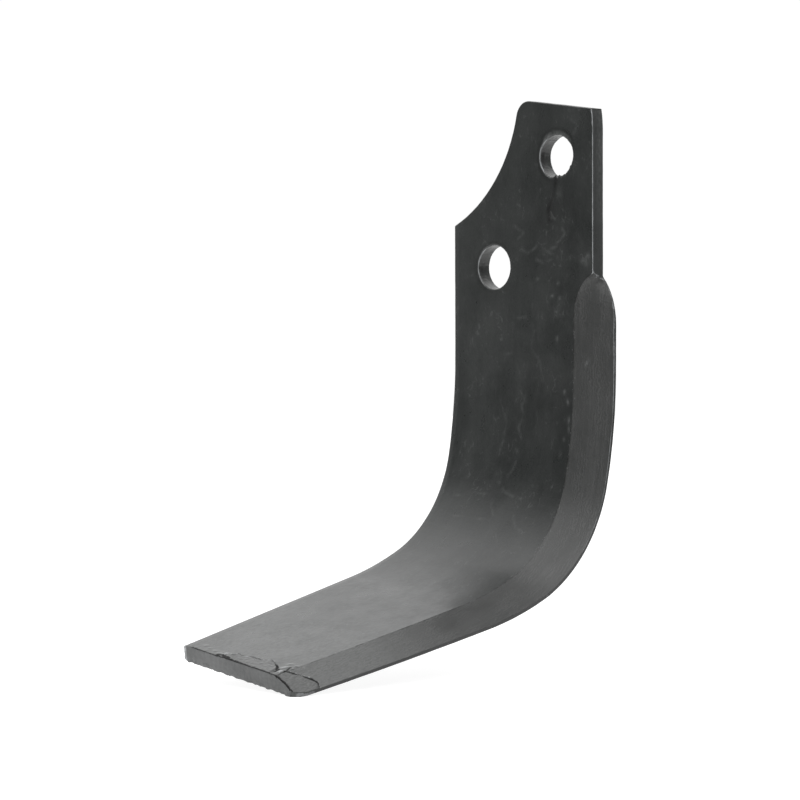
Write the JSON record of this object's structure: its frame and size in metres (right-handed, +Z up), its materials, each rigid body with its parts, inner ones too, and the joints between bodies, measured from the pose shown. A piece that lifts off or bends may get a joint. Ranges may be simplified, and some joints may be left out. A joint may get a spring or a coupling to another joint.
{
  "type": "rotary tiller blade",
  "caption": "L-shaped tiller blade of flat steel bar: a flat bolt end with a scalloped side, a bend, and a leg with a bevelled cutting edge.",
  "frame": {"origin": "midway between the two bolt holes, on the seat face, which is the outside of the bend", "axes": "+X across the bar towards the cutting edge, -Y the side that the leg points to, +Z up the flat bolt end"},
  "size_m": [0.068, 0.1307, 0.1785],
  "materials": {
    "black_paint": "semi-gloss black paint over hot-worked steel"
  },
  "bodies": {
    "root": {"tiller_blade": "black_paint"}
  },
  "joints": []
}
